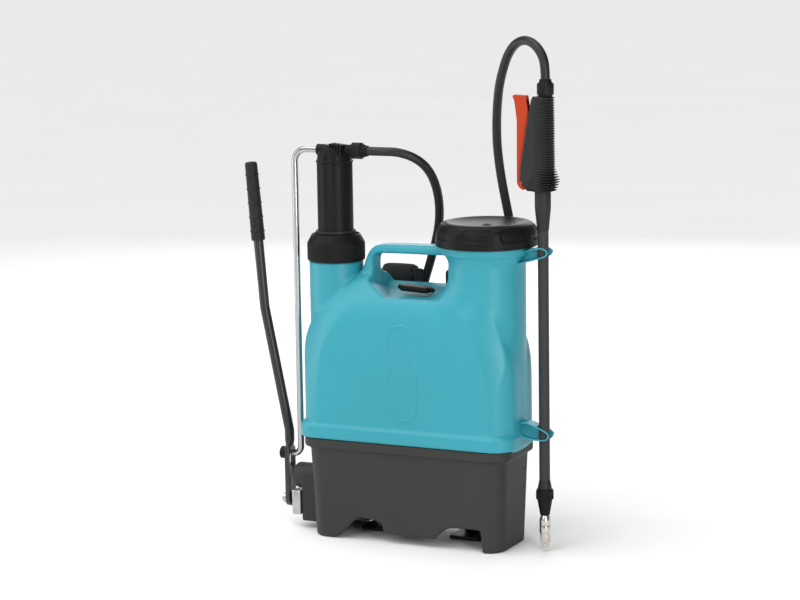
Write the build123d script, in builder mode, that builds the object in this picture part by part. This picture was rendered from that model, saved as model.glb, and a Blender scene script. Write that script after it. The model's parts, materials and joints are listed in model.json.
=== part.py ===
from build123d import *
import os
from math import asin, cos, degrees, pi, radians, sin, sqrt, tan

# Backpack sprayer, millimetres. +Z up, -Y the broad front, +Y the side worn against
# the back, +X the side that carries the lance. The origin is on the floor, midway
# between the side walls of the tank's band and midway between its front and back.

os.makedirs("parts", exist_ok=True)

# ---------------------------------------------------------------- driving sizes
wall = 2.5                  # tank and base skin
fit = 0.05                  # radial clearance of a running fit
gap = 0.3                   # clearance between pieces that must not touch

band_width = 350.0          # widest ring of the tank, seated on the base
band_depth = 137.0
band_corner = 30.0
band_low = 155.0
band_high = 173.0
band_bevel = 5.0

body_depth = 128.0          # tank above the band
body_left = -173.0
body_right = 173.5
left_corner = 41.0          # the pump end is rounded like its column,
right_corner = 57.0         # and the filling end like its own
shoulder_z = 335.0          # where the front starts to lean back
ridge_z = 405.0             # highest point of the shoulders

bucket_width = 302.0        # lower part of the tank, hidden in the base
bucket_depth = 112.0
bucket_centre_y = 2.0
bucket_low = 43.0

recess_left = -63.6         # hand space under the handle
recess_right = 75.0
handle_depth = 34.0
handle_low = 434.0
handle_high = 448.5

pump_x = -132.3             # left column, holds the pump
pump_column_r = 41.0
pump_column_top = 418.6
pump_neck_r = 37.5
pump_neck_top = 446.0
nut_r = 43.5

filler_x = 117.0            # right column, holds the filling mouth
filler_column_r = 57.0
collar_r = 69.0             # flared ring under the cap
filler_neck_r = 67.0
filler_neck_top = 474.0
cap_r = 76.0
cap_low = 453.0

lance_x = 209.4
lance_y = -8.0
lance_r = 8.0

stroke_angle = 80.0         # full swing of the pump lever
crank = 72.0                # lever pivot to rod pin
pivot_z = 40.0
lever_x = -220.0
rod_x = -200.0
rod_r = 5.0
rod_pin_r = 3.0
head_axis_z = 585.0         # axis of the head's cross tube
rod_length = head_axis_z - pivot_z - crank

hose_d = 13.5


def save(piece, node):
    piece.part.label = node
    export_step(piece.part, f"parts/{node}.step")


# ---------------------------------------------------------------- shaping helpers
def disc(x, y, z, radius, height, mode=Mode.ADD):
    """Upright round bar with its foot at z."""
    with BuildSketch(Plane((x, y, z))) as outline:
        Circle(radius)
    extrude(outline.sketch, amount=height, mode=mode)


def ring(x, y, z, outer, inner, height):
    """Upright tube with its foot at z."""
    with BuildSketch(Plane((x, y, z))) as outline:
        Circle(outer)
        Circle(inner, mode=Mode.SUBTRACT)
    extrude(outline.sketch, amount=height)


def crossbar(x, y, z, radius, length, mode=Mode.ADD):
    """Round bar that starts at x and runs towards +X."""
    with BuildSketch(Plane((x, y, z), x_dir=(0, 1, 0), z_dir=(1, 0, 0))) as outline:
        Circle(radius)
    extrude(outline.sketch, amount=length, mode=mode)


def endbar(x, y, z, radius, length, mode=Mode.ADD):
    """Round bar that starts at y and runs towards +Y."""
    with BuildSketch(Plane((x, y, z), x_dir=(1, 0, 0), z_dir=(0, 1, 0))) as outline:
        Circle(radius)
    extrude(outline.sketch, amount=length, mode=mode)


def block(x0, x1, y0, y1, z0, z1, mode=Mode.ADD):
    """Straight box between two corners."""
    with BuildSketch(Plane(((x0 + x1) / 2, (y0 + y1) / 2, z0))) as outline:
        Rectangle(x1 - x0, y1 - y0)
    extrude(outline.sketch, amount=z1 - z0, mode=mode)


def slab(y, z, width, depth, radius, height, mode=Mode.ADD, taper=0, x=0):
    """Upright block with rounded corners, its foot at z."""
    with BuildSketch(Plane((x, y, z))) as outline:
        RectangleRounded(width, depth, radius)
    extrude(outline.sketch, amount=height, taper=taper, mode=mode)


def turned(x, y, points, mode=Mode.ADD):
    """Solid turned about an upright axis, from (radius, height) points."""
    with BuildSketch(Plane((x, y, 0), x_dir=(1, 0, 0), z_dir=(0, -1, 0))) as outline:
        with BuildLine():
            Polyline(*points, close=True)
        make_face()
    revolve(outline.sketch, axis=Axis((x, y, 0), (0, 0, 1)), mode=mode)


def front_plate(points, y0, y1, grow=0, mode=Mode.ADD):
    """Plate drawn in the XZ plane, between two depths."""
    with BuildSketch(Plane((0, y1, 0), x_dir=(1, 0, 0), z_dir=(0, -1, 0))) as outline:
        with BuildLine():
            Polyline(*points, close=True)
        make_face()
        if grow:
            offset(amount=grow, kind=Kind.INTERSECTION)
    extrude(outline.sketch, amount=y1 - y0, mode=mode)


def side_plate(points, x0, x1, grow=0, mode=Mode.ADD):
    """Plate drawn in the YZ plane, between two widths."""
    with BuildSketch(Plane((x0, 0, 0), x_dir=(0, 1, 0), z_dir=(1, 0, 0))) as outline:
        with BuildLine():
            Polyline(*points, close=True)
        make_face()
        if grow:
            offset(amount=grow, kind=Kind.INTERSECTION)
    extrude(outline.sketch, amount=x1 - x0, mode=mode)


# ---------------------------------------------------------------- tank
half_depth = body_depth / 2
side_outline = [                      # depth and height of the body
    (-half_depth, band_low), (-half_depth, shoulder_z), (-58, 352), (-46, 374),
    (-handle_depth / 2 - 3, ridge_z), (handle_depth / 2 + 3, ridge_z),
    (half_depth - 8, 388), (half_depth, 378), (half_depth, band_low),
]
front_outline = [                     # width and height of the body
    (body_left, band_low), (body_left, 306), (-160, 328), (-134, 356), (-90, ridge_z),
    (120, ridge_z), (body_right, 372), (body_right, band_low),
]
recess_outline = [                    # space over the recess floor, seen from the side
    (-80, 375), (-50, 374), (-38, 368), (22, 371), (48, 383), (80, 386), (80, 460), (-80, 460),
]


def tank_form(shrink):
    """Tank outline, drawn inwards by shrink on every wall."""
    with BuildPart() as form:
        for near, far, corner in ((body_left, 60, left_corner), (-60, body_right, right_corner)):
            slab(0, band_low, far - near - 2 * shrink, body_depth - 2 * shrink, corner - shrink, 300,
                 x=(near + far) / 2)
        side_plate(side_outline, -band_width, band_width, -shrink, Mode.INTERSECT)
        front_plate(front_outline, -half_depth, half_depth, -shrink, Mode.INTERSECT)
        side_plate(recess_outline, recess_left - shrink, recess_right, shrink, Mode.SUBTRACT)
        slab(bucket_centre_y, bucket_low + shrink, bucket_width - 2 * shrink, bucket_depth - 2 * shrink,
             band_corner - shrink, band_low - bucket_low + 2)
        slab(0, band_low + shrink, band_width - 2 * shrink, band_depth - 2 * shrink, band_corner - shrink,
             band_high - band_low - shrink)
        slab(0, band_high, band_width - 2 * shrink, band_depth - 2 * shrink, band_corner - shrink,
             band_bevel - shrink / 2, taper=45)
        disc(pump_x, 0, band_high, pump_column_r - shrink, pump_column_top - band_high - shrink)
        disc(filler_x, 0, band_high, filler_column_r - shrink, 430 - band_high)
        turned(filler_x, 0, [
            (0, 428), (filler_column_r - shrink, 428), (filler_column_r - shrink, 430),
            (collar_r - 2 * shrink, cap_low - shrink), (0, cap_low - shrink),
        ])
    return form.part


outer_form = tank_form(0)
inner_form = tank_form(wall)
with BuildPart() as tank_shell:
    add(outer_form)
    disc(pump_x, 0, pump_column_top, pump_neck_r, pump_neck_top - pump_column_top)
    disc(filler_x, 0, cap_low, filler_neck_r, filler_neck_top - cap_low)
    front_plate([                     # handle: a bent bar from the left shoulder to the right column
        (-96, 385), (-81, 406), (-71, 434), (-62, 443), (-50, handle_high), (72, handle_high),
        (72, handle_low), (-54, handle_low), (-61, 431), (recess_left, 424), (recess_left, 385),
    ], -handle_depth / 2, handle_depth / 2)
    add(inner_form, mode=Mode.SUBTRACT)
    disc(pump_x, 0, pump_column_top - 10, pump_neck_r - 3, 60, Mode.SUBTRACT)
    disc(filler_x, 0, cap_low - 10, filler_neck_r - 3, 60, Mode.SUBTRACT)
    for rib in range(3):              # stiffening ribs across the back, between the columns
        block(-60, 60, half_depth - 0.5, half_depth + 2, 215 + 55 * rib, 221 + 55 * rib)
save(tank_shell, "tank_shell")

# two clips that hold the lance, open towards +X
clip_front = lance_y - lance_r - gap - 3.2
clip_back = lance_y + lance_r + gap + 3.2
clip_levels = [(433.0, 19.5, 160.0), (167.5, 15.5, 160.0)]      # foot, height, inner end
with BuildPart() as lance_clips:
    for low, height, root in clip_levels:
        block(root, lance_x - lance_r - gap, clip_front, clip_back, low, low + height)
        block(lance_x - lance_r - 2, lance_x + 9, clip_front, clip_front + 3.2, low + 4, low + height)
        block(lance_x - lance_r - 2, lance_x + 11, clip_back - 3.2, clip_back, low + 4, low + height)
    add(outer_form, mode=Mode.SUBTRACT)
save(lance_clips, "lance_clips")

# ---------------------------------------------------------------- base
base_centre_y = 1.5
rim_low = 136.0
floor_low = 37.0
floor_high = 40.0
with BuildPart() as base_shell:
    slab(base_centre_y, rim_low, 322, 126, 30, -rim_low, taper=2.1)
    slab(0.5, rim_low, 322, 127, 30, 6, taper=-55)
    slab(0.5, rim_low + 6, 339, 132, 30, band_low - rim_low - 6)
    block(-192, -150, -20, 20, 11, 62)                    # side block that carries the lever bracket
    crossbar(-208, -10, 79, 20, 50)                       # round boss above it
    slab(base_centre_y, rim_low, 316, 120, 27, floor_high - rim_low, Mode.SUBTRACT, taper=2.1)
    slab(0.5, rim_low - 0.5, 316, 120, 27, 30, Mode.SUBTRACT)
    slab(base_centre_y, floor_low, 307, 111, 24, -40, Mode.SUBTRACT)
    front_plate([                                         # front arches and the raised middle foot
        (-118, -5), (-112, 0), (-78, 27), (-36, 30), (-32, 15), (52, 15), (56, 31), (119, 31), (122, -5),
    ], -90, 0, 0, Mode.SUBTRACT)
    front_plate([(-118, -5), (-112, 0), (-84, 31), (84, 31), (112, 0), (118, -5)], 0, 90, 0, Mode.SUBTRACT)
save(base_shell, "base_shell")

with BuildPart() as lever_bracket:                        # pressed steel channel, open to the back
    block(-206, -192, -22.5, -20, 21, 58.5)
    block(-206, -203.5, -20, 18, 21, 58.5)
    block(-194.5, -192, -20, 18, 21, 58.5)
    crossbar(-210, 0, pivot_z, 4.0, 8, Mode.SUBTRACT)
    for level in (29, 53):
        crossbar(-198, 8, level, 2.5, 8, Mode.SUBTRACT)
save(lever_bracket, "lever_bracket")

with BuildPart() as bracket_screws:
    for level in (29, 53):
        crossbar(-198.5, 8, level, 4.5, 4)
        crossbar(-194.5, 8, level, 2.5, 2.5)
save(bracket_screws, "bracket_screws")

# ---------------------------------------------------------------- lever and its pivot
lever_thick = 7.0
foot_width = 23.0
lever_face = lever_x + lever_thick / 2
rod_travel = []                       # where the rod pin stands in the lever's own frame
for step in range(0, 41):
    swing = radians(stroke_angle) * step / 40
    full = radians(stroke_angle)
    drop_full = rod_length + crank - crank * cos(full) - sqrt(rod_length**2 - (crank * sin(full)) ** 2)
    lean = asin(crank * sin(full) / rod_length) * step / 40
    pin_y = rod_length * sin(lean)
    pin_z = rod_length + crank - drop_full * step / 40 - rod_length * cos(lean)
    along = pin_y * sin(swing) + pin_z * cos(swing)
    across = pin_y * cos(swing) - pin_z * sin(swing)
    rod_travel.append((along, across))
slot_near = min(along for along, across in rod_travel) - rod_pin_r - 0.6
slot_far = max(along for along, across in rod_travel) + rod_pin_r + 0.6
slot_half = max(abs(across) for along, across in rod_travel) + rod_pin_r + 0.4
rod_lean = degrees(asin(crank * sin(radians(stroke_angle)) / rod_length))
print("stroke", round(drop_full, 3), "rod lean", round(rod_lean, 4))
print("slot", round(slot_near, 2), round(slot_far, 2), "half width", round(slot_half, 2))

with BuildPart() as lever_tube:
    with BuildLine(Plane.XZ) as lever_line:
        FilletPolyline((lever_x, 132), (lever_x, 148), (-258, 338), (-275.5, 552), radius=30)
    with BuildSketch(Plane(lever_line.line @ 0, z_dir=lever_line.line % 0)):
        Circle(7.5)
        Circle(5.5, mode=Mode.SUBTRACT)
    sweep()
    with BuildSketch(Plane((lever_x, 0, 120))):
        RectangleRounded(lever_thick, foot_width, 3.4)
    with BuildSketch(Plane((lever_x, 0, 132))):
        Circle(7.5)
    loft()
    block(lever_x - lever_thick / 2, lever_x + lever_thick / 2, -foot_width / 2, foot_width / 2, pivot_z, 120)
    crossbar(lever_x - lever_thick / 2, 0, pivot_z, foot_width / 2, lever_thick)
    crossbar(lever_x - 10, 0, pivot_z, 4 + fit, 20, Mode.SUBTRACT)
    block(lever_x - 10, lever_x + 10, -slot_half, slot_half,
          pivot_z + slot_near + slot_half, pivot_z + slot_far - slot_half, Mode.SUBTRACT)
    for end in (slot_near + slot_half, slot_far - slot_half):
        crossbar(lever_x - 10, 0, pivot_z + end, slot_half, 20, Mode.SUBTRACT)
save(lever_tube, "lever_tube")

with BuildPart() as lever_grip:
    with BuildLine(Plane.XZ) as grip_line:
        Line((-266.5, 442), (-276.3, 562))
    with BuildSketch(Plane(grip_line.line @ 0, z_dir=grip_line.line % 0)):
        Circle(10.6)
    with BuildSketch(Plane(grip_line.line @ 1, z_dir=grip_line.line % 1)):
        Circle(9.4)
    loft()
    for place in (0.12, 0.3, 0.48, 0.66, 0.84):           # raised rings round the grip
        with BuildSketch(Plane(grip_line.line @ place, z_dir=grip_line.line % 0)) as ring_outline:
            Circle(12.0 - 1.2 * place)
        extrude(ring_outline.sketch, amount=2)
    add(lever_tube.part, mode=Mode.SUBTRACT)
    with BuildSketch(Plane((-265.5, 0, 430), z_dir=grip_line.line % 0)) as core:
        Circle(5.6)
    extrude(core.sketch, amount=110, mode=Mode.SUBTRACT)
save(lever_grip, "lever_grip")

bush_face = lever_face + 0.15
with BuildPart() as pivot_bolt:                           # shouldered bolt: lever, bush and channel
    crossbar(-231.5, 0, pivot_z, 7.5, 4.5)
    crossbar(-227, 0, pivot_z, 4.0, 31.5)
save(pivot_bolt, "pivot_bolt")

with BuildPart() as pivot_washer:
    crossbar(-227, 0, pivot_z, 9.5, lever_x - lever_thick / 2 - 0.15 + 227)
    crossbar(-230, 0, pivot_z, 4.0, 10, Mode.SUBTRACT)
save(pivot_washer, "pivot_washer")

with BuildPart() as pivot_bush:
    crossbar(bush_face, 0, pivot_z, 8.0, -206 - bush_face)
    crossbar(-230, 0, pivot_z, 4.0, 40, Mode.SUBTRACT)
save(pivot_bush, "pivot_bush")

with BuildPart() as pivot_nut:
    with BuildSketch(Plane((-203.5, 0, pivot_z), x_dir=(0, 1, 0), z_dir=(1, 0, 0))) as nut_outline:
        RegularPolygon(7.5, 6)
        Circle(4.0, mode=Mode.SUBTRACT)
    extrude(nut_outline.sketch, amount=6.5)
save(pivot_nut, "pivot_nut")

# ---------------------------------------------------------------- pump rod
rod_top_bend = 20.0
rod_low_bend = 13.0
rod_shoulder = lever_face + 1.3
with BuildPart() as pump_rod:
    with BuildLine(Plane.XZ) as rod_line:
        FilletPolyline((-142, head_axis_z), (rod_x, head_axis_z), (rod_x, pivot_z + crank),
                       (rod_shoulder, pivot_z + crank), radius=[rod_top_bend, rod_low_bend])
    with BuildSketch(Plane(rod_line.line @ 0, z_dir=rod_line.line % 0)):
        Circle(rod_r)
    sweep()
    crossbar(-233, 0, pivot_z + crank, rod_pin_r, rod_shoulder + 233.5)
save(pump_rod, "pump_rod")

with BuildPart() as rod_cap:                              # push-on cap that keeps the rod in the lever
    crossbar(-233.5, 0, pivot_z + crank, 9.5, 233.5 + lever_x - lever_thick / 2 - 0.8)
    crossbar(-233, 0, pivot_z + crank, rod_pin_r, 20, Mode.SUBTRACT)
save(rod_cap, "rod_cap")

# ---------------------------------------------------------------- pump in the left column
liner_r = 31.0
liner_bore = 28.5
plunger_r = 27.0
plunger_bore = 24.0
valve_low = 158.0
liner_low = valve_low + 20
piston_low = liner_low + 77
with BuildPart() as pump_liner:
    ring(pump_x, 0, liner_low, liner_r, liner_bore, pump_neck_top - liner_low)
    ring(pump_x, 0, pump_neck_top, pump_neck_r - 1, liner_bore, 3)
save(pump_liner, "pump_liner")

guide_low = pump_neck_top + 3
with BuildPart() as plunger_guide:
    ring(pump_x, 0, guide_low, pump_neck_r - 1, plunger_r + fit, 3)
    ring(pump_x, 0, guide_low + 3, liner_r, plunger_r + fit, 10)
save(plunger_guide, "plunger_guide")

with BuildPart() as wiper_seal:                           # lip ring in the guide's mouth
    ring(pump_x, 0, guide_low + 13, liner_r - 1, plunger_r + fit, 2)
save(wiper_seal, "wiper_seal")

with BuildPart() as collar_nut:
    turned(pump_x, 0, [
        (pump_neck_r + 0.4, 418.9), (nut_r, 418.9), (nut_r, 447), (36.5, 459), (liner_r + 0.6, 459),
        (liner_r + 0.6, 452.2), (pump_neck_r + 0.4, 452.2),
    ])
    for turn in range(36):            # shallow grip ribs
        angle = radians(10 * turn)
        disc(pump_x + nut_r * cos(angle), nut_r * sin(angle), 421, 0.8, 24)
save(collar_nut, "collar_nut")

with BuildPart() as foot_valve:
    disc(pump_x, 0, valve_low, liner_r, 20)
    disc(pump_x, 0, valve_low - 10, 8, 10)
    disc(pump_x, 0, valve_low - 20, 5.0, 60, Mode.SUBTRACT)
    disc(pump_x, 0, valve_low + 4, 7.7, 14, Mode.SUBTRACT)
    block(pump_x - 9, pump_x + 9, -2, 2, valve_low + 17, valve_low + 30, Mode.SUBTRACT)
save(foot_valve, "foot_valve")

with BuildPart() as intake_ball:
    with Locations((pump_x, 0, valve_low + 9.0)):
        Sphere(7.0 - 0.05)
save(intake_ball, "intake_ball")

with BuildPart() as suction_tube:     # reaches from the foot valve down into the tank's sump
    ring(pump_x, 0, 62, 8.0, 5.0, valve_low - 10 - 62)
save(suction_tube, "suction_tube")

with BuildPart() as intake_strainer:
    ring(pump_x, 0, 47.5, 12.5, 11.0, 22.5)
    ring(pump_x, 0, 64, 11.2, 8.0, 6)
    for turn in range(6):
        with BuildSketch(Plane((pump_x, 0, 52), x_dir=(cos(pi * turn / 6), sin(pi * turn / 6), 0),
                               z_dir=(-sin(pi * turn / 6), cos(pi * turn / 6), 0))) as window:
            Rectangle(2.4, 9)
        extrude(window.sketch, amount=16, both=True, mode=Mode.SUBTRACT)
save(intake_strainer, "intake_strainer")

# ---------------------------------------------------------------- plunger
head_low = 567.0
with BuildPart() as plunger_tube:
    ring(pump_x, 0, piston_low + 20, plunger_r, plunger_bore, head_low - piston_low - 20)
save(plunger_tube, "plunger_tube")

with BuildPart() as piston:
    disc(pump_x, 0, piston_low, liner_bore - 0.3, 20)
    disc(pump_x, 0, piston_low + 20, plunger_bore, 10)
    disc(pump_x, 0, piston_low - 5, 5.0, 40, Mode.SUBTRACT)
    disc(pump_x, 0, piston_low + 4, 7.7, 14, Mode.SUBTRACT)
    block(pump_x - 9, pump_x + 9, -2, 2, piston_low + 17, piston_low + 31, Mode.SUBTRACT)
    with BuildSketch(Plane((pump_x, 0, piston_low + 5))) as groove:
        Circle(liner_bore + 1)
        Circle(25.0, mode=Mode.SUBTRACT)
    extrude(groove.sketch, amount=6, mode=Mode.SUBTRACT)
save(piston, "piston")

with BuildPart() as piston_seal:
    ring(pump_x, 0, piston_low + 5, liner_bore - fit, 25.0, 6)
save(piston_seal, "piston_seal")

with BuildPart() as outlet_ball:
    with Locations((pump_x, 0, piston_low + 9.0)):
        Sphere(7.0 - 0.05)
save(outlet_ball, "outlet_ball")

outlet_x = pump_x + plunger_r + 3
with BuildPart() as plunger_head:
    turned(pump_x, 0, [
        (0, head_low - 12), (plunger_bore, head_low - 12), (plunger_bore, head_low), (28.2, head_low),
        (28.2, head_low + 2.6), (plunger_r - 0.4, head_low + 3.4), (plunger_r - 1.5, head_low + 12),
        (21, head_low + 22), (12, head_low + 26.5), (0, head_low + 27.5),
    ])
    crossbar(pump_x - 27.5, 0, head_axis_z, 8.8, outlet_x - pump_x + 27.5)
    crossbar(outlet_x, 0, head_axis_z, 7.0, 8)
    for fin in range(5):              # moulded fins over the cross tube
        fin_x = pump_x + 1 + 4.4 * fin
        block(fin_x, fin_x + 2, -20, 0, head_axis_z - 6, head_axis_z + 11.5 - 0.5 * fin)
    crossbar(pump_x - 40, 0, head_axis_z, rod_r + fit, 30.5, Mode.SUBTRACT)
    crossbar(pump_x - 4, 0, head_axis_z, 3.5, 60, Mode.SUBTRACT)
    disc(pump_x, 0, head_low - 20, 5.0, 20, Mode.SUBTRACT)
    disc(pump_x, 0, head_low - 12, 3.5, head_axis_z - head_low + 12, Mode.SUBTRACT)
save(plunger_head, "plunger_head")

with BuildPart() as riser_pipe:       # carries liquid from the foot of the air chamber to the head
    ring(pump_x, 0, piston_low + 45, 5.0, 3.5, head_low - piston_low - 45)
save(riser_pipe, "riser_pipe")

hose_start_x = outlet_x + 27
with BuildPart() as outlet_nut:
    nut_place = (outlet_x + 0.5, 0, head_axis_z)
    with BuildSketch(Plane(nut_place, x_dir=(0, 1, 0), z_dir=(1, 0, 0))) as nut_outline:
        RegularPolygon(12.6, 8)
    extrude(nut_outline.sketch, amount=17)
    crossbar(outlet_x + 17.5, 0, head_axis_z, 9.6, 4.5)
    crossbar(outlet_x + 22, 0, head_axis_z, 8.2, 5)
    crossbar(outlet_x - 5, 0, head_axis_z, 7.0, 13, Mode.SUBTRACT)
    crossbar(outlet_x, 0, head_axis_z, 3.5, 40, Mode.SUBTRACT)
save(outlet_nut, "outlet_nut")

# ---------------------------------------------------------------- filling mouth
basket_low = 372.0
with BuildPart() as filler_strainer:  # sieve basket that hangs in the mouth
    turned(filler_x, 0, [
        (48, basket_low), (52.5, 430), (61.5, 452), (62.5, 456), (62.5, filler_neck_top),
        (filler_neck_r, filler_neck_top), (filler_neck_r, filler_neck_top + 2), (60.5, filler_neck_top + 2),
        (60.5, 457), (59.5, 453), (50.5, 431),
        (46, basket_low + 2), (0, basket_low + 2), (0, basket_low),
    ])
    for turn in range(12):
        angle = radians(30 * turn)
        with BuildSketch(Plane((filler_x, 0, 402), x_dir=(-sin(angle), cos(angle), 0),
                               z_dir=(cos(angle), sin(angle), 0))) as window:
            RectangleRounded(15, 40, 3)
        extrude(window.sketch, amount=70, mode=Mode.SUBTRACT)
save(filler_strainer, "filler_strainer")

cap_top = 488.0
insert_low = filler_neck_top + 2.2
with BuildPart() as filler_cap:
    turned(filler_x, 0, [
        (72.4, cap_low), (cap_r, cap_low), (cap_r, 471), (73, 481), (66, 486.5), (58, cap_top), (52, 487),
        (38, 483.5), (0, 482), (0, insert_low + 3.2), (72.4, insert_low + 3.2),
    ])
    disc(filler_x, 0, 470, 4.2, 30, Mode.SUBTRACT)
save(filler_cap, "filler_cap")

with BuildPart() as cap_seal:         # carrier disc with the sealing lip, stays still while the cap turns
    disc(filler_x, 0, insert_low, filler_neck_r, 3)
    disc(filler_x, 0, insert_low, 4.2, 30, Mode.SUBTRACT)
save(cap_seal, "cap_seal")

with BuildPart() as vent_valve:       # breather plug in the middle of the cap
    disc(filler_x, 0, insert_low - 3, 6.5, 2.9)
    disc(filler_x, 0, insert_low - 0.2, 4.2 - fit, 11)
save(vent_valve, "vent_valve")

# ---------------------------------------------------------------- lance
collar_low = 95.0
grip_low = 536.0
with BuildPart() as lance_tube:
    ring(lance_x, lance_y, collar_low + 14, lance_r, lance_r - 2, 478 - collar_low - 14)
save(lance_tube, "lance_tube")

with BuildPart() as lance_socket:     # tapered sleeve under the handle
    turned(lance_x, lance_y, [
        (6, 478), (lance_r + 0.4, 478), (11.8, 512), (11.8, grip_low), (6, grip_low),
    ])
save(lance_socket, "lance_socket")

with BuildPart() as lance_ferrule:
    turned(lance_x, lance_y, [(6, collar_low), (10.2, collar_low), (10.2, 98), (lance_r, 109), (6, 109)])
save(lance_ferrule, "lance_ferrule")

with BuildPart() as lance_nut:
    turned(lance_x, lance_y, [
        (4, 56), (7.2, 56), (11, 78), (12.6, 89), (12.6, 93), (11.6, collar_low), (4, collar_low),
    ])
    for turn in range(12):
        angle = radians(30 * turn)
        disc(lance_x + 12.2 * cos(angle), lance_y + 12.2 * sin(angle), 80, 0.9, 12)
save(lance_nut, "lance_nut")

with BuildPart() as nozzle_body:
    turned(lance_x, lance_y, [
        (2.5, 40), (8.2, 40), (8.2, 49.5), (7.6, 49.5), (7.6, 51), (5.5, 56), (2.5, 56),
    ])
    turned(lance_x, lance_y, [(2.5, 20), (5.5, 20), (5.5, 40.1), (2.5, 40.1)])
save(nozzle_body, "nozzle_body")

with BuildPart() as nozzle_tip:       # turning spray head, screwed over the body's stem
    turned(lance_x, lance_y, [
        (5.5 + fit, 39.7), (8.2, 39.7), (8.2, 29), (7.2, 28), (7.2, 14), (5.6, 13), (5.6, 7), (1.0, 7),
        (1.0, 19.7), (5.5 + fit, 19.7),
    ])
    for turn in range(16):
        angle = radians(22.5 * turn)
        disc(lance_x + 7.3 * cos(angle), lance_y + 7.3 * sin(angle), 15, 0.5, 12)
save(nozzle_tip, "nozzle_tip")

# ---------------------------------------------------------------- trigger handle
grip_high = 673.0
grip_r = 13.0
grip_front = -22.0
grip_back = 6.0
valve_r = 6.0
pin_x = 180.5
pin_z = 548.0
trigger_travel = 6.0                  # degrees
stem_z = 600.0
inlet_x = 214.5
grip_outline = [
    (lance_x, grip_low), (195, grip_low), (186, 538.5), (178.5, 545.5), (176, 553), (178, 575),
    (186.5, 625.5), (195.3, 668.5), (198, grip_high), (lance_x, grip_high),
]
slot_outline = [(160, 700), (203, 700), (203, 640), (201, 610), (192, 552), (189, 530), (160, 530)]
slot_half_width = 6.6
rubber_x = 212.0                      # the body ends here and the rubber skin begins
screw_places = [(198, 546), (200, 575)]


def grip_form():
    """Both halves of the handle body in one piece."""
    with BuildPart() as form:
        front_plate(grip_outline, grip_front, grip_back)
        disc(lance_x, lance_y, grip_low, grip_r + 1, grip_high - grip_low)
        block(rubber_x, 240, -40, 20, grip_low - 1, grip_high + 1, Mode.SUBTRACT)
        disc(lance_x, lance_y, grip_low, grip_r, grip_high - grip_low)
        disc(lance_x, lance_y, grip_low - 1, valve_r, grip_high - grip_low + 2, Mode.SUBTRACT)
        front_plate(slot_outline, lance_y - slot_half_width, lance_y + slot_half_width, 0, Mode.SUBTRACT)
        crossbar(180, lance_y, stem_z, 2.6, 30, Mode.SUBTRACT)
        endbar(pin_x, -30, pin_z, 2.5, 50, Mode.SUBTRACT)
        for x, z in screw_places:
            endbar(x, -16, z, 1.4, 30, Mode.SUBTRACT)
    return form.part


grip_body = grip_form()
with BuildPart() as grip_shell_front:
    add(grip_body)
    block(100, 300, lance_y, 100, 500, 700, Mode.SUBTRACT)
save(grip_shell_front, "grip_shell_front")

with BuildPart() as grip_shell_back:
    add(grip_body)
    block(100, 300, -100, lance_y, 500, 700, Mode.SUBTRACT)
save(grip_shell_back, "grip_shell_back")

with BuildPart() as grip_screws:
    for x, z in screw_places:
        endbar(x, -16, z, 1.4, 22)
        endbar(x, grip_back, z, 2.6, 1.8)
save(grip_screws, "grip_screws")

rib_pitch = 3.7
with BuildPart() as grip_cover:       # ribbed rubber skin over the back of the handle
    disc(lance_x, lance_y, grip_low, 14.8, grip_high - grip_low)
    for rib in range(37):
        z = grip_low + 0.8 + rib_pitch * rib
        swell = 4.2 * max(0, 1 - abs(z - 551) / 18)
        disc(lance_x + 0.3 * swell, lance_y, z, 16.4 + 0.7 * swell, 1.5)
    disc(lance_x, lance_y, grip_low - 1, grip_r, grip_high - grip_low + 2, Mode.SUBTRACT)
    block(150, rubber_x, -60, 40, grip_low - 5, grip_high + 5, Mode.SUBTRACT)
save(grip_cover, "grip_cover")

with BuildPart() as valve_body:       # pipe through the handle, with the side port of the valve
    ring(lance_x, lance_y, grip_low, valve_r, 4.0, grip_high - grip_low)
    crossbar(200, lance_y, stem_z, 2.0 + fit, 9, Mode.SUBTRACT)
save(valve_body, "valve_body")

stem_left = pin_x - 7.5 + 0.6
with BuildPart() as valve_stem:
    crossbar(stem_left, lance_y, stem_z, 2.0, 203.6 - stem_left)
    crossbar(stem_left + 8, lance_y, stem_z, 3.4, 1.5)
save(valve_stem, "valve_stem")

with BuildPart() as valve_spring:
    spring_x = stem_left + 9.6
    for coil in range(5):
        place = (spring_x + 0.7 + 2.6 * coil, lance_y, stem_z)
        with BuildSketch(Plane(place, x_dir=(0, 1, 0), z_dir=(1, 0, 0))) as turn_outline:
            Circle(3.4)
            Circle(2.5, mode=Mode.SUBTRACT)
        extrude(turn_outline.sketch, amount=0.9)
    for side in (-1, 1):
        block(spring_x + 0.7, spring_x + 12, lance_y - 0.4, lance_y + 0.4,
              stem_z + 3 * side - 0.4, stem_z + 3 * side + 0.4)
save(valve_spring, "valve_spring")

trigger_outline = [
    (164.3, 673), (166, 675.5), (186.5, 674.5), (190, 650), (190, 562), (187.5, 543), (184, 537.5),
    (179, 536.8), (173, 541), (170, 548), (170.6, 638), (168.7, 653), (166.9, 667),
]
with BuildPart() as trigger:
    front_plate(trigger_outline, lance_y - 6.0, lance_y + 6.0)
    front_plate([(173, 560), (193, 560), (193, 668), (189, 671), (170.5, 671), (173, 640)],
                lance_y - 4.0, lance_y + 4.0, 0, Mode.SUBTRACT)
    endbar(pin_x, -30, pin_z, 2.5 + fit, 50, Mode.SUBTRACT)
save(trigger, "trigger")

with BuildPart() as trigger_pin:
    endbar(pin_x, grip_front - 0.4, pin_z, 2.5, grip_back - grip_front + 0.8)
save(trigger_pin, "trigger_pin")

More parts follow.
